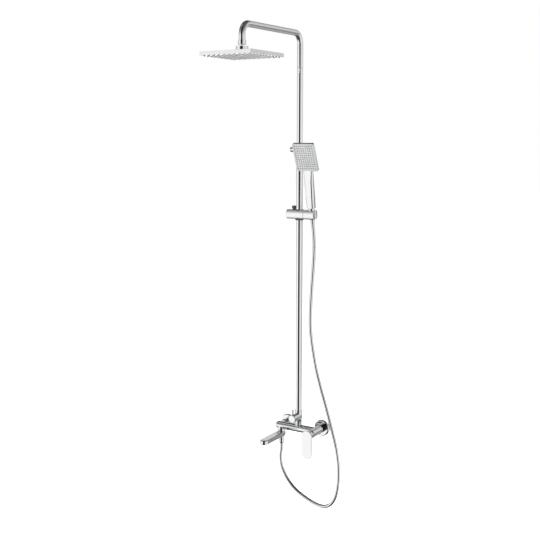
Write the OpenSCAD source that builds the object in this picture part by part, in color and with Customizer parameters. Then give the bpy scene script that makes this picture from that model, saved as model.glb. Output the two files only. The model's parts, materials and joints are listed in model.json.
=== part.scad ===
// Rainfall shower column: bath mixer, riser, overhead shower, sliding hand shower and hose.
// Frame: origin on the wall face midway between the two water inlets,
// +X right, +Y into the wall, +Z up. Millimetres.

/* [Mixer] */
// Distance between the two water inlets
inlet_pitch = 150; // [140:1:160]
// Distance of the riser and mixer bar from the wall
wall_gap = 54; // [50:1:60]
// Radius of the mixer bar
bar_r = 15; // [14:0.5:16]
// Radius of the cartridge housing on the right inlet
housing_r = 16.5; // [16:0.5:18]
// Length of the bath spout from its swivel axis to the centre of its round tip
spout_len = 127; // [110:1:150]
// Radius of the spout's round ends, half its width
spout_r = 16.5; // [16:0.5:18]
// Height of the flat spout
spout_h = 18; // [17:1:20]
// Width of the lever paddle
lever_w = 42; // [38:1:46]
// Drop of the lever paddle's tip below the inlet axis
lever_drop = 89; // [70:1:100]

/* [Riser] */
// Radius of the upper tube and overhead arm
tube_r = 11; // [10.5:0.5:11]
// Radius of the lower tube
lower_r = 12.5; // [12.5:0.5:13]
// Wall thickness of the tubes
tube_wall = 1.5; // [1.2:0.1:1.6]
// Height of the wall bracket above the inlets
bracket_z = 1059; // [1000:1:1080]
// Height of the joint between the upper tube and the arm
arm_joint_z = 1352; // [1300:1:1360]
// Height of the overhead arm's axis
arm_z = 1473; // [1460:1:1500]
// Reach of the arm from the riser axis to the overhead shower's axis
arm_reach = 384; // [340:1:400]
// Bend radius of the arm's centre line
arm_bend = 38; // [34:1:44]

/* [Overhead shower] */
// Side of the square overhead plate
head_w = 200; // [180:5:220]
// Thickness of the overhead plate
head_t = 12; // [11:1:14]
// Nozzles along one side of the overhead plate
head_nozzles_n = 10; // [8:1:12]

/* [Slider and hand shower] */
// Height of the slider's axis above the inlets
slider_z = 821.5; // [700:0.5:850]
// Height of the slider barrel's rounded square section
barrel_h = 36; // [34:1:38]
// Depth of the slider barrel's section, front to back
barrel_d = 34; // [32:1:36]
// Distance of the hand shower's axis from the riser axis
socket_x = 53; // [52:0.5:54]
// Lean of the hand shower's handle from the vertical
handle_lean = 11.3; // [8:0.1:14]
// Width of the hand shower's square face
hand_w = 86.5; // [80:0.5:90]
// Height of the hand shower's face
hand_h = 106.5; // [100:0.5:110]
// Diameter of the hose
hose_d = 14; // [12:1:14]

/* [Hidden] */

$fn = 64;
axis_y = -wall_gap;
left_x = -inlet_pitch / 2;
right_x = inlet_pitch / 2;

// Radius of a G1/2 male thread, and the bore that lets water through it
g_half_r = 10.48;
g_half_bore = 7.5;
// Radial play of turning and sliding fits, and the wider play of tube in tube
fit = 0.08;
slip = 0.15;

flange_r = 31.5;
flange_t = 10;
union_wall_len = 18;
nut_front = -30;

// Cartridge stack along the right inlet's axis, distances from the wall
housing_front = -95;
lever_pivot_y = -92;
paddle_back = -119.5;
paddle_t = 5.5;
paddle_edge = 0.8;
dome_r = 14.5;

spout_top = -22;
spout_bottom = spout_top - spout_h;
spout_mid = (spout_top + spout_bottom) / 2;
outlet_end = -71;
spout_edge = 4;

diverter_z = 48.8;
diverter_r = 14.4;
lower_tube_z = 46;
lower_tube_top = bracket_z + 11;
collar_top = lower_tube_top + 10;
upper_tube_z = 870;

head_y = axis_y - arm_reach;
head_top = 1378;
ball_z = head_top + 13;
ball_r = 13.6;
nozzle_margin = 9;
nub_r = 2.6;
nub_drop = 3;

// The hand shower's axis passes through the slider's own axis and leans forward
seam_x = 23.3;
seam_gap = 0.5;
crown_r = 43;
corner_r = 6;
// Centre of the section's corner circles, tangent to both crowned sides
side_off = crown_r - barrel_d / 2;
top_off = crown_r - barrel_h / 2;
reach_r = crown_r - corner_r;
corner_shift = (side_off * side_off - top_off * top_off) / (2 * side_off) - side_off;
corner_slope = top_off / side_off;
quad_a = 1 + corner_slope * corner_slope;
quad_b = -2 * corner_slope * corner_shift;
quad_c = corner_shift * corner_shift - reach_r * reach_r;
corner_z = (-quad_b + sqrt(quad_b * quad_b - 4 * quad_a * quad_c)) / (2 * quad_a);
corner_at = [corner_shift + side_off - corner_slope * corner_z, corner_z];
side_end = [side_off + crown_r * (corner_at[0] - side_off) / reach_r, crown_r * corner_z / reach_r];
top_end = [crown_r * corner_at[0] / reach_r, crown_r * (corner_z + top_off) / reach_r - top_off];
barrel_right = 66.3;
barrel_left = -48.6;
nut_top_s = 26;
nut_bottom_s = -18;
ferrule_s = -30;
face_lean = 22.74 - handle_lean;
face_s = 164.4;
face_n = 3.5;
hand_t = 10;
hand_rim = 5.5;
panel_w = hand_w - 2 * hand_rim;
panel_h = hand_h - 2 * hand_rim;
hand_columns = 9;
hand_rows = 11;
hand_nub_r = 2.4;
hand_pitch = (panel_w - 6.7) / (hand_columns - 1);

// The free hose's route, from the hand shower's ferrule down and round to the outlet
hose_route = [
    [socket_x, -48, 791.5], [socket_x, -41, 757], [54.5, -38, 705], [51.5, -37, 640],
    [46.5, -37, 570], [42, -37, 500], [40, -38, 430], [42.5, -39, 380], [52, -40, 314],
    [69.5, -42, 234], [91, -44, 164], [113.5, -46, 99], [135, -48, 34], [155, -49, -32],
    [165, -50, -75], [171, -50, -120], [172, -50, -163], [168.5, -50, -205],
    [159.5, -50, -243], [144, -50, -272], [123, -50, -289], [98, -50, -293],
    [68, -50, -288], [35.5, -50, -276], [3, -50, -260.5], [-24, -51, -241],
    [-47, -52, -216], [-65, -53, -186], [-75.5, -54, -156], [-79, -54, -122],
    [-75.5, -54, -92], [left_x, -54, outlet_end - 0.3]];
hose_sides = 10;
hose_rings = 70;

// ---- helpers -------------------------------------------------------------

module rod_x(r, x0, x1) { translate([x0, 0, 0]) rotate([0, 90, 0]) cylinder(r = r, h = x1 - x0); }
// A rod along Y from the wall side y0 forwards to y1, both negative away from the wall
module rod_y(r, y0, y1) { translate([0, y0, 0]) rotate([90, 0, 0]) cylinder(r = r, h = y0 - y1); }
module rod_z(r, z0, z1) { translate([0, 0, z0]) cylinder(r = r, h = z1 - z0); }
module tube_z(r, bore, z0, z1) {
    difference() {
        rod_z(r, z0, z1);
        rod_z(bore, z0 - 1, z1 + 1);
    }
}
module tube_y(r, bore, y0, y1) {
    difference() {
        rod_y(r, y0, y1);
        rod_y(bore, y0 + 1, y1 - 1);
    }
}
module at_both_inlets() {
    for (x = [left_x, right_x]) translate([x, 0, 0]) children();
}
module o_ring(r, section) { rotate_extrude() translate([r, 0]) circle(r = section, $fn = 24); }
module round_rect(w, h, corner) {
    square([w - 2 * corner, h], center = true);
    square([w, h - 2 * corner], center = true);
    for (x = [-1, 1], y = [-1, 1])
        translate([x * (w / 2 - corner), y * (h / 2 - corner)]) circle(r = corner, $fn = 32);
}
// The part of a flat shape that it shares with itself turned half round
module shared_with_opposite() {
    intersection() {
        children();
        rotate(180) children();
    }
}
// The slider barrel's section: four gently crowned sides joined by tangent corners
module barrel_outline() {
    band_z = 2 * side_end[1];
    band_y = 2 * abs(top_end[0]);
    intersection() {
        shared_with_opposite()
            translate([crown_r - barrel_d / 2, 0]) circle(r = crown_r, $fn = 128);
        square([barrel_d + 2, band_z], center = true);
    }
    intersection() {
        rotate(90) shared_with_opposite()
            translate([crown_r - barrel_h / 2, 0]) circle(r = crown_r, $fn = 128);
        square([band_y, barrel_h + 2], center = true);
    }
    for (y = [-1, 1], z = [-1, 1]) {
        translate([y * corner_at[0], z * corner_at[1]]) circle(r = corner_r);
    }
    square([2 * abs(corner_at[0]), 2 * corner_at[1]], center = true);
}
module barrel(x0, x1) {
    translate([x0, 0, 0]) rotate([90, 0, 90]) linear_extrude(x1 - x0) barrel_outline();
}
// Moves children to the overhead arm's plane: local x runs forward, local y runs up
module arm_plane() { translate([0, axis_y, 0]) rotate([90, 0, -90]) children(); }
// Moves children into the hand shower's frame: local z up its handle, local -y its front
module hand_frame() {
    translate([socket_x, axis_y, slider_z]) rotate([handle_lean, 0, 0]) children();
}
// Moves children onto the hand shower's face: origin at the face's lower edge, local z up it
module face_frame() { translate([0, -face_n, face_s]) rotate([face_lean, 0, 0]) children(); }

// ---- sweeping the hose ----------------------------------------------------

function lerp3(a, b, t) = a + (b - a) * t;
function spline(p0, p1, p2, p3, t) =
    0.5 * (2 * p1 + (p2 - p0) * t + (2 * p0 - 5 * p1 + 4 * p2 - p3) * t * t
        + (3 * p1 - p0 - 3 * p2 + p3) * t * t * t);
function route_point(u) =
    let (last = len(hose_route) - 1, i = min(floor(u), last - 1), t = u - i)
    spline(hose_route[max(i - 1, 0)], hose_route[i], hose_route[i + 1],
        hose_route[min(i + 2, last)], t);
function unit(v) = v / norm(v);
function ring_u(k) = k / (hose_rings - 1) * (len(hose_route) - 1);
function ring_dir(k) =
    unit(route_point(ring_u(min(k + 0.5, hose_rings - 1))) - route_point(ring_u(max(k - 0.5, 0))));
function ring_at(k) =
    let (c = route_point(ring_u(k)), d = ring_dir(k), side = unit(cross([0, 1, 0], d)),
        up = cross(d, side))
    [for (j = [0:hose_sides - 1])
        c + hose_d / 2 * (cos(j * 360 / hose_sides) * side + sin(j * 360 / hose_sides) * up)];

// ---- fixed at the wall ----------------------------------------------------

module wall_flanges() {
    edge = 5;
    color("silver") at_both_inlets() rotate([90, 0, 0]) rotate_extrude() difference() {
        union() {
            square([flange_r, flange_t - edge]);
            square([flange_r - edge, flange_t]);
            translate([flange_r - edge, flange_t - edge]) circle(r = edge);
        }
        translate([0, -edge]) square([flange_r, edge]);
        translate([0, -1]) square([13.5, flange_t + 2]);
        translate([0, -1]) square([flange_r - 2.5, flange_t - 4]);
        translate([0, -1]) square([flange_r - edge - 1.5, flange_t - 1]);
    }
}
module inlet_unions() {
    color("silver") at_both_inlets() difference() {
        union() {
            rod_y(g_half_r, union_wall_len, 0);
            rod_y(13.2, 0, nut_front + 4);
        }
        rod_y(g_half_bore, union_wall_len + 1, nut_front);
    }
}
module inlet_nuts() {
    color("silver") at_both_inlets() difference() {
        rod_y(housing_r, -11, nut_front);
        rod_y(13.25, -10, nut_front + 2);
        rod_y(12.3, nut_front + 4, nut_front - 1);
    }
}
module inlet_gaskets() {
    color("dimgray") at_both_inlets() tube_y(12, 7, nut_front + 3.9, nut_front + 2.1);
}
module mixer_body() {
    color("silver") difference() {
        union() {
            translate([0, axis_y, 0]) {
                rod_x(bar_r, left_x - 10, right_x);
                translate([left_x - 10, 0, 0]) sphere(r = bar_r);
            }
            translate([left_x, 0, 0]) rod_y(12.2, nut_front + 2, axis_y);
            translate([right_x, 0, 0]) rod_y(12.2, nut_front + 2, -32);
            translate([right_x, 0, 0]) rod_y(housing_r, nut_front - 0.3, housing_front);
            translate([0, axis_y, 0]) rod_z(10, 0, 28);
            translate([left_x, axis_y, 0]) {
                rod_z(14.8, spout_top + 0.3, 0);
                rod_z(9, outlet_end + 17, 0);
            }
        }
        translate([0, axis_y, 0]) rod_x(8, left_x, right_x - 12);
        at_both_inlets() rod_y(7, nut_front + 3, axis_y);
        translate([0, axis_y, 0]) rod_z(7, 0, 29);
        translate([left_x, axis_y, 0]) {
            rod_z(6, outlet_end + 16, 0);
            for (a = [0, 90]) translate([0, 0, spout_mid]) rotate([0, 0, a]) rod_y(3, 10, -10);
        }
        translate([right_x, 0, 0]) {
            rod_y(13, -66, housing_front - 1);
            rod_y(14.4, housing_front + 7, housing_front - 1);
        }
    }
}
module cartridge_housing() {
    color("white") translate([right_x, 0, 0]) difference() {
        rod_y(12.9, -66, -90);
        rod_y(11, -75, -91);
        for (x = [-5, 5]) translate([x, 0, 0]) rod_y(3, -65, -76);
    }
}
module ceramic_disc(y0, y1) {
    translate([right_x, 0, 0]) difference() {
        rod_y(10.8, y0, y1);
        for (x = [-5, 5]) translate([x, 0, 0]) rod_y(2.6, y0 + 1, y1 - 1);
    }
}
module fixed_disc() { color("white") ceramic_disc(-75, -78.5); }
module moving_disc() { color("ivory") ceramic_disc(-78.6, -82); }
module cartridge_nut() {
    color("goldenrod") translate([right_x, 0, 0]) tube_y(14.35, 10.2, -90.05, housing_front);
}
module dome_cap() {
    color("silver") translate([right_x, lever_pivot_y, 0]) difference() {
        union() {
            intersection() {
                sphere(r = dome_r);
                rod_y(20, -3, -20);
            }
            rod_y(15.5, -3, -5);
        }
        sphere(r = dome_r - 1.5);
        rod_y(9.6, 0, -20);
    }
}
module diverter_body() {
    color("silver") translate([0, axis_y, 0]) difference() {
        union() {
            rod_z(12.7, 8, 40);
            rod_z(14.8, 40, 71);
            translate([0, 0, diverter_z]) rod_y(diverter_r, 0, -36);
        }
        rod_x(bar_r + 0.02, -30, 30);
        rod_z(10.03, 0, 30);
        rod_z(8, 29, 47);
        rod_z(lower_r + 0.02, lower_tube_z, 72);
        translate([0, 0, diverter_z]) rod_y(10.5, -15.5, -37);
    }
}
module diverter_cartridge() {
    color("white") translate([0, axis_y, diverter_z]) difference() {
        rod_y(10.4, -15.6, -35.5);
        rod_y(4 + fit, -18, -36);
    }
}
module lower_tube() {
    color("silver") translate([0, axis_y, 0])
        tube_z(lower_r, tube_r + slip, lower_tube_z, lower_tube_top);
}
module riser_collar() {
    color("silver") translate([0, axis_y, 0]) difference() {
        rod_z(15, lower_tube_top, collar_top);
        rod_z(tube_r + slip, lower_tube_top - 1, collar_top + 1);
        translate([0, 0, lower_tube_top + 5]) rod_y(2, 20, 0);
    }
}
// Grub screws at the back of the collar and of the bracket's ring
module set_screws() {
    color("dimgray") translate([0, axis_y, 0]) {
        translate([0, 0, lower_tube_top + 5]) rod_y(1.95, 14.9, tube_r + 0.5);
        translate([0, 0, bracket_z]) rotate([0, 0, 60]) rod_y(1.95, 16, lower_r + 0.2);
    }
}
module wall_bracket() {
    color("silver") translate([0, axis_y, bracket_z]) difference() {
        union() {
            rod_z(17, -10.5, 10.5);
            rod_y(9, wall_gap - 8, 12);
            rod_x(9.3, -19, -10);
        }
        rod_z(lower_r + 0.02, -11, 11);
        rod_x(3.1, -20, -12);
        rotate([0, 0, 60]) rod_y(2, 20, 10);
        rod_y(5, wall_gap - 7, wall_gap - 22);
    }
}
module bracket_flange() {
    color("silver") translate([0, 0, bracket_z]) difference() {
        rod_y(24, 0, -8);
        rod_y(3.05, 1, -9);
    }
}
module bracket_screw() {
    color("gray") translate([0, 0, bracket_z]) {
        rod_y(3, 40, 0);
        rod_y(2.5, 0, -20);
        rod_y(4.9, -8.05, -12);
    }
}
module outlet_adapter() {
    color("silver") translate([left_x, axis_y, 0]) difference() {
        union() {
            rod_z(12, outlet_end + 17, spout_bottom - 0.3);
            rod_z(10.4, outlet_end + 5, outlet_end + 18);
        }
        rod_z(9.01, outlet_end + 17, 0);
        rod_z(7.2, outlet_end, 0);
    }
}
module check_valve() {
    color("white") translate([left_x, axis_y, 0])
        tube_z(7.15, 3, outlet_end + 6, outlet_end + 16);
}
module hose_nut_bottom() {
    color("silver") translate([left_x, axis_y, 0]) difference() {
        union() {
            rod_z(12, outlet_end + 4, outlet_end + 16.8);
            translate([0, 0, outlet_end]) cylinder(r1 = 9, r2 = 12, h = 4);
        }
        rod_z(10.45, outlet_end + 4, outlet_end + 18);
        rod_z(5, outlet_end - 1, outlet_end + 5);
    }
}
module hose() {
    rings = [for (k = [0:hose_rings - 1]) ring_at(k)];
    skin = [for (k = [0:hose_rings - 2], j = [0:hose_sides - 1])
        [k * hose_sides + j, k * hose_sides + (j + 1) % hose_sides,
            (k + 1) * hose_sides + (j + 1) % hose_sides, (k + 1) * hose_sides + j]];
    first = [for (j = [0:hose_sides - 1]) hose_sides - 1 - j];
    last = [for (j = [0:hose_sides - 1]) (hose_rings - 1) * hose_sides + j];
    color("silver") polyhedron([for (r = rings) each r], concat(skin, [first, last]));
}

// ---- lever ----------------------------------------------------------------

module cartridge_carrier() {
    color("white") translate([right_x, 0, 0]) difference() {
        rod_y(10.1, -82.1, -94);
        translate([-4.2, -96, -9]) cube([8.4, 12, 18]);
        translate([0, lever_pivot_y, 0]) rod_x(1.5, -12, 12);
    }
}
module lever_pin() {
    color("gray") translate([right_x, lever_pivot_y, 0]) rod_x(1.49, -9.5, 9.5);
}
module lever_spindle() {
    color("goldenrod") translate([right_x, 0, 0]) difference() {
        translate([-3.8, -115, -3.5]) cube([7.6, 29, 7]);
        translate([0, lever_pivot_y, 0]) rod_x(1.5 + fit, -5, 5);
    }
}
module lever_handle() {
    r = lever_w / 2;
    color("silver") translate([right_x, 0, 0]) difference() {
        union() {
            hull() for (inset = [0, paddle_edge], z = [0, r - lever_drop]) {
                short = paddle_edge - inset;
                translate([0, 0, z])
                    rod_y(r - inset, paddle_back - short, paddle_back - paddle_t + short);
            }
            rod_y(housing_r, lever_pivot_y - 11, paddle_back);
        }
        translate([0, lever_pivot_y, 0]) sphere(r = dome_r + 0.5);
        translate([-3.82, -115.1, -3.52]) cube([7.64, 12, 7.04]);
        translate([0, -113, 0]) rod_z(2.02, -housing_r - 1, -3);
    }
}
module lever_screw() {
    color("dimgray") translate([right_x, -113, 0]) rod_z(2, -housing_r + 1, -3.6);
}

// ---- spout ----------------------------------------------------------------

module spout_outline(r) {
    circle(r = r);
    translate([0, -spout_len]) circle(r = r);
    translate([-r, -spout_len]) square([2 * r, spout_len]);
}
// The spout's outside, with all its edges rounded
module spout_skin() {
    hull() for (a = [0:15:90]) {
        rise = spout_edge * (1 - sin(a));
        translate([0, 0, spout_bottom + rise]) linear_extrude(spout_h - 2 * rise)
            spout_outline(spout_r - spout_edge * (1 - cos(a)));
    }
}
module spout() {
    color("silver") translate([left_x, axis_y, 0]) difference() {
        spout_skin();
        translate([0, 0, spout_bottom + 3]) linear_extrude(spout_h - 6) difference() {
            spout_outline(spout_r - 3);
            circle(r = spout_r);
        }
        rod_z(9 + fit, spout_bottom - 1, spout_top + 1);
        for (z = [spout_bottom + 4, spout_top - 4])
            translate([0, 0, z]) rotate_extrude() translate([10, 0]) square([4, 3], center = true);
        translate([0, 0, spout_mid]) rod_y(3.5, 0, -spout_r - 1);
        translate([0, -spout_len, 0]) rod_z(11.55, spout_bottom - 1, spout_bottom + 4);
    }
}
module spout_orings() {
    color("black") translate([left_x, axis_y, 0])
        for (z = [spout_bottom + 4, spout_top - 4]) translate([0, 0, z]) o_ring(10.45, 1.2);
}
module aerator() {
    color("gray") translate([left_x, axis_y - spout_len, 0]) difference() {
        rod_z(11.5, spout_bottom + 0.2, spout_bottom + 6);
        rod_z(9.5, spout_bottom - 1, spout_bottom + 1.5);
        for (a = [0:60:300]) rotate([0, 0, a]) translate([5.5, 0, 0])
            rod_z(1.8, spout_bottom, spout_bottom + 7);
        rod_z(1.8, spout_bottom, spout_bottom + 7);
    }
}

// ---- diverter knob --------------------------------------------------------

module diverter_knob() {
    color("silver") translate([0, axis_y, diverter_z]) difference() {
        union() {
            rod_y(diverter_r, -36.4, -50);
            rod_y(diverter_r - 1, -50, -51.7);
        }
        rod_y(4.02, -36, -47);
        translate([0, -43, 0]) rod_z(2.9, 7, 16);
    }
}
module diverter_pin() {
    color("silver") translate([0, axis_y - 43, diverter_z]) rod_z(2.88, 7.1, 34.2);
}
module diverter_stem() {
    color("goldenrod") translate([0, axis_y, diverter_z]) rod_y(4, -19, -46.5);
}
module bracket_knob() {
    color("silver") translate([0, axis_y, bracket_z]) {
        rod_x(9.3, -36.5, -19.4);
        rod_x(8, -38, -36.5);
        rod_x(3, -19.5, -13);
    }
}

// ---- upper tube and arm ---------------------------------------------------

module upper_tube() {
    color("silver") translate([0, axis_y, 0])
        tube_z(tube_r, tube_r - tube_wall, upper_tube_z, arm_joint_z);
}
module arm_spigot() {
    inner = tube_r - tube_wall;
    color("goldenrod") translate([0, axis_y, arm_joint_z]) difference() {
        rod_z(inner - fit, -40, 32);
        rod_z(6, -41, 33);
        for (z = [8, 22]) translate([0, 0, z]) rotate_extrude()
            translate([inner, 0]) square([3, 3], center = true);
    }
}
module spigot_orings() {
    color("black") translate([0, axis_y, arm_joint_z])
        for (z = [8, 22]) translate([0, 0, z]) o_ring(tube_r - tube_wall - 0.75, 0.7);
}
module arm_run(r) {
    straight = arm_reach - 2 * arm_bend;
    bend_z = arm_z - arm_bend;
    arm_plane() {
        translate([arm_bend, bend_z]) rotate_extrude_quarter(r, 90);
        translate([arm_reach - arm_bend, bend_z]) rotate_extrude_quarter(r, 0);
        translate([arm_bend, arm_z, 0]) rotate([0, 90, 0]) cylinder(r = r, h = straight);
    }
    translate([0, axis_y, 0]) rod_z(r, arm_joint_z, bend_z);
    translate([0, head_y, 0]) rod_z(r, 1417.5, bend_z);
}
// A quarter of a tube bend in the local XY plane, starting at the given angle
module rotate_extrude_quarter(r, start) {
    rotate([0, 0, start]) rotate_extrude(angle = 90) translate([arm_bend, 0]) circle(r = r);
}
module overhead_arm() {
    color("silver") difference() {
        arm_run(tube_r);
        arm_run(tube_r - tube_wall);
        translate([0, axis_y, 0]) rod_z(tube_r - tube_wall, arm_joint_z - 0.5, arm_joint_z + 5);
        translate([0, head_y, 0]) rod_z(tube_r - tube_wall, 1417, 1430);
        translate([0, axis_y, arm_joint_z + 15]) rod_y(2.02, 12, 5);
        translate([0, axis_y, 0]) rod_z(tube_r + 1, arm_joint_z - 1, arm_joint_z + 0.3);
    }
}
module arm_set_screw() {
    color("dimgray") translate([0, axis_y, arm_joint_z + 15])
        rod_y(2, tube_r - 0.2, tube_r - tube_wall + 0.1);
}
module ball_nipple() {
    color("silver") translate([0, head_y, 0]) difference() {
        union() {
            rod_z(tube_r - tube_wall - 0.05, 1417, 1428);
            rod_z(13.4, 1403.5, 1417.5);
            rod_z(9.3, ball_z, 1404);
            translate([0, 0, ball_z]) sphere(r = ball_r);
        }
        rod_z(5, ball_z - 20, 1430);
    }
}
// A ring of a thin spherical shell round the ball, open at the top and bottom
module seat_ring(r0, r1, z0, z1, opening) {
    translate([0, head_y, ball_z]) difference() {
        intersection() {
            sphere(r = r1);
            rod_z(20, z0, z1);
        }
        sphere(r = r0);
        rod_z(opening, 0, 20);
    }
}
module upper_seat_ring() { color("white") seat_ring(ball_r + 0.3, 14.9, -6, 8.5, 11.4); }
module lower_seat_ring() { color("gray") seat_ring(15.2, 16, -7, 8.5, 12.6); }

// ---- overhead shower ------------------------------------------------------

module square_slab(w, corner, z0, z1) {
    translate([0, head_y, z0]) linear_extrude(z1 - z0) round_rect(w, w, corner);
}
module overhead_cover() {
    color("silver") difference() {
        square_slab(head_w, 2.5, head_top - head_t, head_top);
        square_slab(head_w - 4, 1.5, head_top - head_t - 1, head_top - 2);
        translate([0, head_y, 0]) rod_z(18.2, head_top - 3, head_top + 1);
    }
}
module nozzle_grid(n, pitch) {
    for (i = [0:n - 1], j = [0:n - 1])
        translate([(i - (n - 1) / 2) * pitch, (j - (n - 1) / 2) * pitch]) children();
}
head_pitch = (head_w - 2 * nozzle_margin - 6) / (head_nozzles_n - 1);
module overhead_face() {
    color("lightgray") difference() {
        square_slab(head_w - 4.2, 1.5, head_top - head_t + 1, head_top - head_t + 4);
        translate([0, head_y, head_top - head_t]) linear_extrude(6)
            nozzle_grid(head_nozzles_n, head_pitch) circle(r = nub_r + 0.1, $fn = 16);
    }
}
module overhead_nozzles() {
    color("gray") {
        square_slab(head_w - 8, 2, head_top - head_t + 4.05, head_top - head_t + 5.5);
        translate([0, head_y, head_top - head_t - nub_drop]) linear_extrude(nub_drop + 4.5)
            nozzle_grid(head_nozzles_n, head_pitch) circle(r = nub_r, $fn = 16);
    }
}
module ball_housing() {
    color("silver") translate([0, head_y, 0]) difference() {
        union() {
            rod_z(20.5, head_top + 0.05, head_top + 20);
            rod_z(18.1, head_top - 5, head_top + 1);
        }
        translate([0, 0, ball_z]) sphere(r = 16.3);
        rod_z(13.9, ball_z, head_top + 21);
        rod_z(6, head_top - 6, ball_z);
    }
}
module overhead_screws() {
    color("dimgray") for (x = [-1, 1], y = [-1, 1])
        translate([x * 60, head_y + y * 60, head_top - 6.45])
            rod_z(1.9, 0, 4.4);
}

// ---- slider ---------------------------------------------------------------

module slider_liner() {
    color("dimgray") translate([0, axis_y, slider_z]) difference() {
        union() {
            rod_z(14.8, -21.5, 18.5);
            rod_z(15.6, -21.5, -18.3);
        }
        rod_z(lower_r + fit, -22, 19);
    }
}
module slider_body() {
    color("silver") translate([0, axis_y, slider_z]) difference() {
        barrel(barrel_left + 3, seam_x - seam_gap);
        rod_z(14.8 + fit, -barrel_h / 2 - 1, barrel_h / 2 + 1);
        translate([-22, 0, 0]) rod_z(6.2, -2, barrel_h / 2 + 1);
        rod_x(5.05, 14, seam_x + 1);
        rod_x(3, barrel_left, -33);
    }
}
module slider_cap() {
    color("silver") translate([0, axis_y, slider_z]) {
        barrel(barrel_left + 1.5, barrel_left + 2.98);
        hull() {
            barrel(barrel_left + 1.5, barrel_left + 1.6);
            translate([barrel_left, 0, 0]) scale([1, 0.9, 0.9]) barrel(0, 0.1);
        }
        rod_x(2.95, barrel_left + 2, -34);
    }
}
module clamp_button() {
    color("dimgray") translate([-22, axis_y, slider_z]) {
        rod_z(6.1, 3, barrel_h / 2 + 4);
        rod_z(9, barrel_h / 2 + 3.5, barrel_h / 2 + 13);
    }
}
// Bolt that the holder turns on; its head sits in the slider
module holder_bolt() {
    color("gray") translate([0, axis_y, slider_z]) rod_x(5, 15.2, 36);
}
module holder() {
    color("silver") difference() {
        translate([0, axis_y, slider_z]) barrel(seam_x + seam_gap, barrel_right);
        translate([0, axis_y, slider_z]) rod_x(5 + fit, seam_x - 1, 36.5);
        hand_frame() {
            translate([0, 0, nut_bottom_s - 8]) cylinder(r1 = 9.1, r2 = 12.9, h = 56);
            translate([0, -8, nut_bottom_s - 8]) cube([30, 16, 60]);
        }
    }
}

// ---- hand shower ----------------------------------------------------------

module hand_slab(w, h, z0, t, back) {
    translate([0, back, z0]) rotate([90, 0, 0])
        linear_extrude(t) translate([0, h / 2]) round_rect(w, h, 5);
}
// A slice of the handle at height s, with a nearly flat front
module handle_slice(s, w, d, front) {
    translate([0, d / 2 - front, s]) linear_extrude(2) round_rect(w, d, min(9, d / 2 - 0.5));
}
module handle_shape() {
    hull() {
        handle_slice(nut_top_s, 31, 24, 12);
        handle_slice(60, 34, 24, 12);
    }
    hull() {
        handle_slice(60, 34, 24, 12);
        handle_slice(120, 36, 21, 9);
    }
    hull() {
        handle_slice(120, 36, 21, 9);
        handle_slice(170, 38, 12, 3);
    }
}
module hand_body() {
    color("silver") hand_frame() difference() {
        union() {
            handle_shape();
            face_frame() hand_slab(hand_w, hand_h, 0, hand_t, hand_t);
        }
        face_frame() hand_slab(panel_w, panel_h, hand_rim, hand_t - 2, hand_t - 2);
        translate([0, 0, nut_top_s - 1]) rod_z(8, 0, 80);
        translate([0, 3, nut_top_s + 70]) rod_z(4.5, 0, 78);
    }
}
module hand_face() {
    color("lightgray") hand_frame() face_frame() difference() {
        hand_slab(panel_w - 0.2, panel_h - 0.2, hand_rim + 0.1, 2.5, 2.8);
        hand_nozzle_rows(hand_nub_r + 0.05, 6);
    }
}
module hand_nozzle_rows(r, depth) {
    for (i = [0:hand_columns - 1], j = [0:hand_rows - 1])
        translate([(i - (hand_columns - 1) / 2) * hand_pitch, 0,
            hand_h / 2 + (j - (hand_rows - 1) / 2) * hand_pitch])
            rotate([90, 0, 0]) translate([0, 0, -depth + 0.3]) cylinder(r = r, h = depth, $fn = 16);
}
module hand_nozzles() {
    color("gray") hand_frame() face_frame() {
        hand_slab(panel_w - 1, panel_h - 1, hand_rim + 0.5, 1.2, 4.05);
        hand_nozzle_rows(hand_nub_r, 3.6);
    }
}
module hose_nut_top() {
    color("silver") hand_frame() difference() {
        union() {
            translate([0, 0, nut_bottom_s]) cylinder(r1 = 9.4, r2 = 12.2, h = nut_top_s - nut_bottom_s - 0.1);
            rod_z(8.5, ferrule_s, nut_bottom_s);
        }
        rod_z(5.5, ferrule_s + 6, nut_top_s + 1);
    }
}

wall_flanges();
inlet_unions();
inlet_nuts();
inlet_gaskets();
mixer_body();
cartridge_housing();
fixed_disc();
cartridge_nut();
dome_cap();
diverter_body();
diverter_cartridge();
lower_tube();
riser_collar();
set_screws();
wall_bracket();
bracket_flange();
bracket_screw();
outlet_adapter();
check_valve();
hose_nut_bottom();
hose();
cartridge_carrier();
moving_disc();
lever_pin();
lever_spindle();
lever_handle();
lever_screw();
spout();
spout_orings();
aerator();
diverter_knob();
diverter_pin();
diverter_stem();
bracket_knob();
upper_tube();
arm_spigot();
spigot_orings();
overhead_arm();
arm_set_screw();
ball_nipple();
upper_seat_ring();
lower_seat_ring();
overhead_cover();
overhead_face();
overhead_nozzles();
ball_housing();
overhead_screws();
slider_liner();
slider_body();
slider_cap();
holder_bolt();
clamp_button();
holder();
hand_body();
hand_face();
hand_nozzles();
hose_nut_top();
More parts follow.
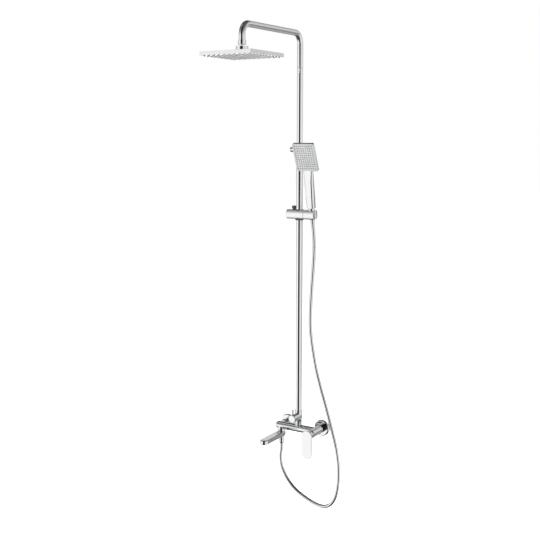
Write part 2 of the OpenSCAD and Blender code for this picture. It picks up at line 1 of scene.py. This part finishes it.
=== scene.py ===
"""Looks for the rainfall shower column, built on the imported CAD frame. Metres."""
import bpy
import json
import math
import numpy as np
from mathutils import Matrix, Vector


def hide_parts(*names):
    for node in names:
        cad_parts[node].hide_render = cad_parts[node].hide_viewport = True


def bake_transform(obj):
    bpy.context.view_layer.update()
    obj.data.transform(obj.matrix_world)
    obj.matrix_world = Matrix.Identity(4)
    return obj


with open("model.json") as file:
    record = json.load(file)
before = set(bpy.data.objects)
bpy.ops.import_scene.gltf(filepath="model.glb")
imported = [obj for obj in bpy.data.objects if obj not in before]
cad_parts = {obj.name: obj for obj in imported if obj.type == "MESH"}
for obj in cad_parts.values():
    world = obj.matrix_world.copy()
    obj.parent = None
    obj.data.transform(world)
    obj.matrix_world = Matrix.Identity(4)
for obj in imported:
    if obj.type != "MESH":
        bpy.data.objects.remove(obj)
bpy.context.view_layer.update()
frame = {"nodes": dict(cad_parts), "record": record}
nodes = frame["nodes"]
scene = bpy.context.scene

# ---- camera ---------------------------------------------------------------

CAMERA_TURN = 31.37   # degrees round from straight in front
CAMERA_DROP = 8.374   # degrees below level

cam = bpy.data.objects.new("camera", bpy.data.cameras.new("camera"))
scene.collection.objects.link(cam)
cam.location = (1.6679, -2.9991, 1.1106)
cam.rotation_euler = (math.radians(90 - CAMERA_DROP), 0, math.radians(CAMERA_TURN))
cam.data.lens = 61.0
cam.data.sensor_width = 36.0
cam.data.clip_start, cam.data.clip_end = 0.05, 100
scene.camera = cam

# ---- hose -----------------------------------------------------------------

HOSE_D = 0.014
HOSE_SIDES = 20
STEP = 0.0005         # between the rings of its mesh
RIDGE = 0.0028        # pitch of its winding
GROOVE = 0.0002       # depth between two turns
ROUTE_MM = [
    (53, -48, 791.5), (53, -41, 757), (54.5, -38, 705), (51.5, -37, 640),
    (46.5, -37, 570), (42, -37, 500), (40, -38, 430), (42.5, -39, 380), (52, -40, 314),
    (69.5, -42, 234), (91, -44, 164), (113.5, -46, 99), (135, -48, 34), (155, -49, -32),
    (165, -50, -75), (171, -50, -120), (172, -50, -163), (168.5, -50, -205),
    (159.5, -50, -243), (144, -50, -272), (123, -50, -289), (98, -50, -293),
    (68, -50, -288), (35.5, -50, -276), (3, -50, -260.5), (-24, -51, -241),
    (-47, -52, -216), (-65, -53, -186), (-75.5, -54, -156), (-79, -54, -122),
    (-75.5, -54, -92), (-75, -54, -71.3)]


def spline_points(points, per):
    """Catmull-Rom points through the route, per steps to each stretch."""
    p = np.array(points, float)
    out = []
    for i in range(len(p) - 1):
        a, b = p[max(i - 1, 0)], p[i]
        c, d = p[i + 1], p[min(i + 2, len(p) - 1)]
        for t in np.arange(per) / per:
            out.append(0.5 * (2 * b + (c - a) * t + (2 * a - 5 * b + 4 * c - d) * t * t
                              + (3 * b - a - 3 * c + d) * t ** 3))
    out.append(p[-1])
    return np.array(out)


def even(points, count):
    """The same line with its points evenly spaced, and its length."""
    run = np.r_[0, np.cumsum(np.linalg.norm(np.diff(points, axis=0), axis=1))]
    at = np.linspace(0, run[-1], count)
    return np.stack([np.interp(at, run, points[:, k]) for k in range(3)], 1), run[-1]


def mesh_object(name, verts, faces, smooth=True):
    mesh = bpy.data.meshes.new(name)
    mesh.from_pydata([tuple(v) for v in verts], [], [tuple(f) for f in faces])
    mesh.update()
    if smooth:
        mesh.polygons.foreach_set("use_smooth", [True] * len(mesh.polygons))
    obj = bpy.data.objects.new(name, mesh)
    scene.collection.objects.link(obj)
    return obj


def swept(name, line, radii, sides):
    """A closed tube through line's points with a radius at each."""
    line = np.array(line, float)
    tangent = np.gradient(line, axis=0)
    tangent /= np.linalg.norm(tangent, axis=1)[:, None]
    side = np.cross((0, 1, 0), tangent)
    side /= np.linalg.norm(side, axis=1)[:, None]
    up = np.cross(tangent, side)
    angle = np.arange(sides) * 2 * math.pi / sides
    rings = (line[:, None] + np.array(radii)[:, None, None]
             * (np.cos(angle)[None, :, None] * side[:, None]
                + np.sin(angle)[None, :, None] * up[:, None]))
    n = len(line)
    faces = []
    for i in range(n - 1):
        for j in range(sides):
            k = (j + 1) % sides
            faces.append((i * sides + j, i * sides + k, (i + 1) * sides + k, (i + 1) * sides + j))
    faces.append(tuple(range(sides - 1, -1, -1)))
    faces.append(tuple((n - 1) * sides + j for j in range(sides)))
    return mesh_object(name, rings.reshape(-1, 3), faces)


route = spline_points(np.array(ROUTE_MM) / 1000, 24)
hose_len = even(route, 2)[1]
whole = even(route, int(hose_len / STEP) + 1)[0]
at = np.arange(len(whole)) * hose_len / (len(whole) - 1)
phase = (at / RIDGE) % 1.0
# Flat over the middle 0.6 of each turn, and falling into the groove at both sides
hose_r = HOSE_D / 2 - GROOVE * np.clip((np.abs(phase - 0.5) - 0.30) / 0.20, 0, 1) ** 1.5

# The hose is cut where one joint's bending ends and the next one's starts, in metres along it
CUTS = [0.0, 0.040, 0.092, 0.136, hose_len]
NAMES = ["hose_top_a", "hose_top_b", "hose_top_c", "hose_main"]
PAIRS = [("hand_shower", "hand_holder"), ("hand_holder", "slider"), ("slider", "liner"),
         ("liner", "fixed_body")]
hose_parts = []
for name, a, b in zip(NAMES, CUTS[:-1], CUTS[1:]):
    i, j = (int(round(cut / hose_len * (len(whole) - 1))) for cut in (a, b))
    part = swept(name, whole[i:j + 1], hose_r[i:j + 1], HOSE_SIDES)
    part["cut"] = [i, j]
    hose_parts.append(part)

# ---- materials --------------------------------------------------------------


class Tree:
    """A short way to write a node tree."""

    def __init__(self, tree):
        self.tree = tree

    def add(self, kind, **settings):
        node = self.tree.nodes.new(kind)
        for key, value in settings.items():
            setattr(node, key, value)
        return node

    def link(self, a, b):
        self.tree.links.new(a, b)

    def math(self, op, *values):
        m = self.add("ShaderNodeMath", operation=op)
        for k, v in enumerate(values):
            if isinstance(v, (int, float)):
                m.inputs[k].default_value = v
            else:
                self.link(v, m.inputs[k])
        return m.outputs["Value"]

    def ramp(self, value, stops):
        r = self.add("ShaderNodeValToRGB")
        e = r.color_ramp.elements
        while len(e) < len(stops):
            e.new(0.5)
        for item, (at, colour) in zip(e, stops):
            item.position = at
            item.color = (*colour, 1)
        self.link(value, r.inputs["Fac"])
        return r.outputs["Color"]


class Nodes(Tree):
    """A material, with its shader and its noise in object coordinates."""

    def __init__(self, name):
        self.mat = bpy.data.materials.new(name)
        self.mat.use_nodes = True
        super().__init__(self.mat.node_tree)
        self.bsdf = self.tree.nodes["Principled BSDF"]
        self.where = self.add("ShaderNodeTexCoord").outputs["Object"]

    def scaled(self, scale):
        m = self.add("ShaderNodeMapping")
        m.inputs["Scale"].default_value = scale
        self.link(self.where, m.inputs["Vector"])
        return m.outputs["Vector"]

    def noise(self, scale, detail=4, stretch=(1, 1, 1), rough=0.5):
        n = self.add("ShaderNodeTexNoise")
        n.inputs["Scale"].default_value = scale
        n.inputs["Detail"].default_value = detail
        n.inputs["Roughness"].default_value = rough
        self.link(self.scaled(stretch), n.inputs["Vector"])
        return n.outputs["Fac"]

    def span(self, value, low, high, start=0.0, end=1.0):
        r = self.add("ShaderNodeMapRange")
        r.inputs["From Min"].default_value = start
        r.inputs["From Max"].default_value = end
        r.inputs["To Min"].default_value = low
        r.inputs["To Max"].default_value = high
        self.link(value, r.inputs["Value"])
        return r.outputs["Result"]

    def bump(self, height, distance, strength, edge=0.0):
        b = self.add("ShaderNodeBump")
        b.inputs["Strength"].default_value = strength
        b.inputs["Distance"].default_value = distance
        self.link(height, b.inputs["Height"])
        if edge:
            bevel = self.add("ShaderNodeBevel")
            bevel.samples = 4
            bevel.inputs["Radius"].default_value = edge
            self.link(bevel.outputs["Normal"], b.inputs["Normal"])
        self.link(b.outputs["Normal"], self.bsdf.inputs["Normal"])

    def set(self, **values):
        for key, value in values.items():
            self.bsdf.inputs[key.replace("_", " ")].default_value = value


CHROME_TINT = (0.90, 0.905, 0.91)


def chrome(name, wave=0.00001, edge=0.0007):
    """Polished plated metal: faint smudges, water spots and hairline wiping marks."""
    n = Nodes(name)
    n.set(Metallic=1.0)
    smudge = n.noise(18, 5, rough=0.6)
    streak = n.noise(60, 3, stretch=(1, 1, 0.06))
    spots = n.add("ShaderNodeTexVoronoi")
    spots.inputs["Scale"].default_value = 90
    n.link(n.where, spots.inputs["Vector"])
    spot = n.span(spots.outputs["Distance"], 0.03, 0.0, 0.10, 0.16)
    smear = n.math("MULTIPLY", n.span(smudge, 0, 1, 0.45, 0.75), n.span(streak, 0.3, 1.0, 0.3, 0.7))
    total = n.math("ADD", n.span(smear, 0.02, 0.07), spot)
    n.link(total, n.bsdf.inputs["Roughness"])
    r = n.ramp(smudge, [(0.3, CHROME_TINT), (0.8, tuple(0.975 * c for c in CHROME_TINT))])
    n.link(r, n.bsdf.inputs["Base Color"])
    n.bump(n.noise(40, 2), wave, 0.4, edge)
    return n.mat


def plastic(name, colour, rough=0.4, grain=900, depth=0.00003, vary=0.06):
    """Moulded plastic with a fine texture and slight colour variation."""
    n = Nodes(name)
    cloud = n.noise(25, 4)
    lo = tuple(max(0.0, c * (1 - vary)) for c in colour)
    hi = tuple(min(1.0, c * (1 + vary)) for c in colour)
    n.link(n.ramp(cloud, [(0.3, lo), (0.7, hi)]), n.bsdf.inputs["Base Color"])
    fine = n.noise(grain, 3)
    n.link(n.span(n.noise(60, 4), rough * 0.8, rough * 1.2, 0.3, 0.7), n.bsdf.inputs["Roughness"])
    n.bump(fine, depth, 0.5)
    return n.mat


def brushed(name, colour, rough=0.28):
    """Turned or machined metal with fine, level tool marks."""
    n = Nodes(name)
    n.set(Metallic=1.0)
    lines = n.noise(400, 3, stretch=(1, 1, 8))
    n.link(n.ramp(n.noise(35, 4), [(0.3, tuple(0.9 * c for c in colour)), (0.7, colour)]),
           n.bsdf.inputs["Base Color"])
    n.link(n.span(lines, rough * 0.7, rough * 1.3, 0.3, 0.7), n.bsdf.inputs["Roughness"])
    n.bump(lines, 0.00002, 0.5)
    return n.mat


MATS = {
    "chrome": chrome("polished_chrome"),
    "brass": brushed("machined_brass", (0.72, 0.53, 0.26)),
    "steel": brushed("bright_steel", (0.55, 0.55, 0.56), 0.3),
    "seal_rubber": plastic("black_rubber", (0.02, 0.02, 0.02), 0.6, 500, 0.00005),
    "white_plastic": plastic("white_acetal", (0.80, 0.80, 0.78), 0.38),
    "ceramic": plastic("lapped_ceramic", (0.86, 0.84, 0.80), 0.18, 1500, 0.00001),
    "grey_plastic": plastic("satin_grey", (0.50, 0.505, 0.51), 0.32, 1200, 0.00002),
    "dark_plastic": plastic("dark_button", (0.045, 0.045, 0.05), 0.3, 900, 0.00002),
    "nozzle_rubber": plastic("nozzle_silicone", (0.30, 0.305, 0.31), 0.5, 1000, 0.00003),
}
slot_of = {row["node"]: row["material_slot"] for row in frame["record"]["subparts"]}


def paint(obj, mat):
    obj.data.materials.clear()
    obj.data.materials.append(mat)


# Nodes whose look differs from the rest of their slot
OWN = {
    "overhead_face": plastic("overhead_panel", (0.84, 0.845, 0.85), 0.35, 1200, 0.00002),
    "overhead_nozzles": plastic("overhead_nubs", (0.09, 0.09, 0.095), 0.5, 1000, 0.00003),
    "hand_face": plastic("hand_panel", (0.40, 0.405, 0.41), 0.3, 1200, 0.00002),
    "diverter_pin": brushed("turned_pin", (0.20, 0.20, 0.205), 0.3),
    "hand_nozzles": plastic("hand_nubs", (0.16, 0.16, 0.165), 0.5, 1000, 0.00003),
}
for node, obj in nodes.items():
    paint(obj, OWN.get(node) or MATS[slot_of[node]])
hose_metal = chrome("hose_chrome", wave=0.000005, edge=0.0)
for part in hose_parts:
    paint(part, hose_metal)

# ---- hose parts: transforms baked, the model's own hose hidden --------------

for part, (a, b) in zip(hose_parts, PAIRS):
    i, j = part["cut"]
    if part.name == "hose_main":
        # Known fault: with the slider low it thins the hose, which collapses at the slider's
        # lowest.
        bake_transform(part)
    else:
        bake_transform(part)
main = hose_parts[-1]
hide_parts("hose")
i, j = main["cut"]

# ---- studio -----------------------------------------------------------------

FLOOR_Z = -1.0
FLOOR_GLOW = 0.9
STUDIO_GLOW = 1.05
floor = mesh_object("floor", [(-30, -30, FLOOR_Z), (30, -30, FLOOR_Z), (30, 30, FLOOR_Z),
                              (-30, 30, FLOOR_Z)], [(0, 1, 2, 3)], smooth=False)
floor_mat = plastic("studio_floor", (0.93, 0.93, 0.93), 0.6, 30, 0.0001, vary=0.005)
lit = floor_mat.node_tree.nodes["Principled BSDF"]
lit.inputs["Emission Color"].default_value = (1, 1, 1, 1)
lit.inputs["Emission Strength"].default_value = FLOOR_GLOW
paint(floor, floor_mat)
floor.visible_glossy = False

world = bpy.data.worlds.new("studio")
scene.world = world
world.use_nodes = True
world.node_tree.nodes.clear()
sky = Tree(world.node_tree)


def greys(stops):
    return [(at, (value, value, value)) for at, value in stops]


def mix_colour(factor, a, b, **settings):
    """Colours a and b mixed; b is a link or a grey."""
    mix = sky.add("ShaderNodeMix", data_type="RGBA", **settings)
    if isinstance(factor, float):
        mix.inputs["Factor"].default_value = factor
    else:
        sky.link(factor, mix.inputs["Factor"])
    sky.link(a, mix.inputs[6])
    if isinstance(b, float):
        mix.inputs[7].default_value = (b, b, b, 1)
    else:
        sky.link(b, mix.inputs[7])
    return mix.outputs[2]


# The studio is fixed in the room. Its zero bearing is the main camera's side.
turn = sky.add("ShaderNodeVectorRotate", rotation_type="Z_AXIS")
turn.inputs["Angle"].default_value = math.radians(-CAMERA_TURN)
sky.link(sky.add("ShaderNodeTexCoord").outputs["Generated"], turn.inputs["Vector"])
xyz = sky.add("ShaderNodeSeparateXYZ")
sky.link(turn.outputs["Vector"], xyz.inputs["Vector"])
# Degrees round from that side, positive to the right
around = sky.math("MULTIPLY", sky.math("ARCTAN2", xyz.outputs["X"],
                                       sky.math("MULTIPLY", xyz.outputs["Y"], -1)), 180 / math.pi)
SIDES = [(-180, 0.35), (-140, 0.50), (-112, 0.72), (-84, 0.95), (-43, 1.00), (-36, 0.01),
         (14, 0.01), (20, 0.95), (38, 0.72), (60, 0.80), (80, 0.90), (112, 0.72), (145, 0.50),
         (180, 0.35)]
sides = sky.ramp(sky.math("ADD", sky.math("DIVIDE", around, 360), 0.5),
                 greys((degrees / 360 + 0.5, value) for degrees, value in SIDES))
# Brightness by height, from 0 straight down to 1 straight up
TALL = [(0.0, 0.08), (0.09, 0.10), (0.134, 0.30), (0.179, 0.70), (0.235, 0.74), (0.30, 1.0),
        (0.42, 1.0), (0.50, 0.98), (0.52, 0.97), (0.545, 0.90), (0.62, 0.58), (0.70, 0.32),
        (0.82, 0.15), (1.0, 0.10)]
height = sky.math("ADD", sky.math("MULTIPLY", xyz.outputs["Z"], 0.5), 0.5)
tall = sky.ramp(height, greys(TALL))
studio = mix_colour(1.0, sides, tall, blend_type="MULTIPLY")

# Panels and gaps behind the object: bearing from the camera's side round by its right, degrees
# up, brightness
bearing = sky.math("MODULO", sky.math("ADD", around, 360), 360)
rise = sky.math("MULTIPLY", sky.math("ARCSINE", xyz.outputs["Z"]), 180 / math.pi)
PANELS = [
    ((166, 200), (-12, 11), 0.15), ((166, 200), (14, 34), 0.62), ((104, 137), (8, 30), 0.62),
    ((137, 165), (20, 48), 0.33), ((104, 134), (0, 8), 0.60), ((104, 136), (-28, -2), 0.27),
    ((118, 200), (-52, -34), 0.15), ((200, 262), (-62, -26), 0.12), ((245, 278), (46, 70), 0.50)]
BEARING_FADE = 3
RISE_FADE = 2


def between(value, low, high, soft):
    """One inside low..high, fading over soft to each side of both ends."""
    masks = []
    for at, flip in ((low, 0), (high, 1)):
        step = sky.add("ShaderNodeMapRange", interpolation_type="SMOOTHSTEP")
        step.inputs["From Min"].default_value = at - soft
        step.inputs["From Max"].default_value = at + soft
        step.inputs["To Min"].default_value = flip
        step.inputs["To Max"].default_value = 1 - flip
        sky.link(value, step.inputs["Value"])
        masks.append(step.outputs["Result"])
    return sky.math("MULTIPLY", *masks)


for turn_span, rise_span, bright in PANELS:
    mask = sky.math("MULTIPLY", between(bearing, *turn_span, BEARING_FADE),
                    between(rise, *rise_span, RISE_FADE))
    studio = mix_colour(mask, studio, bright)

# Light and reflections come from the studio, and the camera sees plain white
glow = sky.add("ShaderNodeBackground")
sky.link(studio, glow.inputs["Color"])
glow.inputs["Strength"].default_value = STUDIO_GLOW
white = sky.add("ShaderNodeBackground")
white.inputs["Color"].default_value = (1, 1, 1, 1)
white.inputs["Strength"].default_value = 1.0
pick = sky.add("ShaderNodeMixShader")
sky.link(sky.add("ShaderNodeLightPath").outputs["Is Camera Ray"], pick.inputs[0])
sky.link(glow.outputs[0], pick.inputs[1])
sky.link(white.outputs[0], pick.inputs[2])
sky.link(pick.outputs[0], sky.add("ShaderNodeOutputWorld").inputs["Surface"])
scene.view_settings.view_transform = "Standard"


def area(name, place, look, size, power):
    light = bpy.data.lights.new(name, "AREA")
    light.shape = "RECTANGLE"
    light.size, light.size_y = size
    light.energy = power
    obj = bpy.data.objects.new(name, light)
    scene.collection.objects.link(obj)
    obj.location = place
    obj.rotation_euler = (Vector(look) - Vector(place)).to_track_quat("-Z", "Y").to_euler()
    obj.visible_glossy = False


area("overhead_soft", (0, -0.6, 5.0), (0, 0, 0), (6, 6), 700)
area("front_soft", (3.0, -4.0, 2.5), (0, 0, 0.5), (3, 3), 120)
